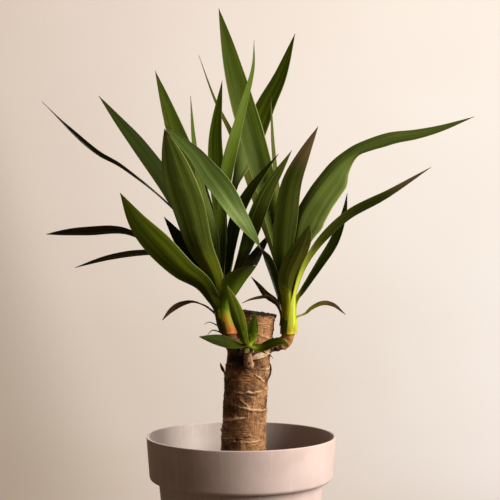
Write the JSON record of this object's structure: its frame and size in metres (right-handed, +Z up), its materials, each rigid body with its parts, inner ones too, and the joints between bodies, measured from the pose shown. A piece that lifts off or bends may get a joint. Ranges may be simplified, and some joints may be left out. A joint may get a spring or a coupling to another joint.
{
  "type": "potted yucca",
  "caption": "Potted yucca: a sawn woody cane with ringed bark and shoots of long sword-shaped leaves, standing in soil in a round tapered planter with a deep rim band.",
  "frame": {"origin": "centre of the planter's foot, on the surface that it stands on", "axes": "+Z up along the planter's axis, -Y towards the front, +X to the right as seen from the front"},
  "size_m": [0.5065, 0.2606, 0.7132],
  "materials": {
    "pot_plastic": "matte moulded plastic, pinkish grey",
    "potting_soil": "loose dark potting soil",
    "cane_bark": "rough ringed bark, sawn end",
    "green_leaf": "smooth waxy leaf, satin",
    "dried_leaf": "dry brown leaf, matte"
  },
  "bodies": {
    "root": {"pot": "pot_plastic", "soil": "potting_soil", "cane": "cane_bark", "left_rosette": "green_leaf", "right_rosette": "green_leaf", "front_shoot": "green_leaf", "left_dried_leaves": "dried_leaf", "right_dried_leaf": "dried_leaf"}
  },
  "joints": []
}
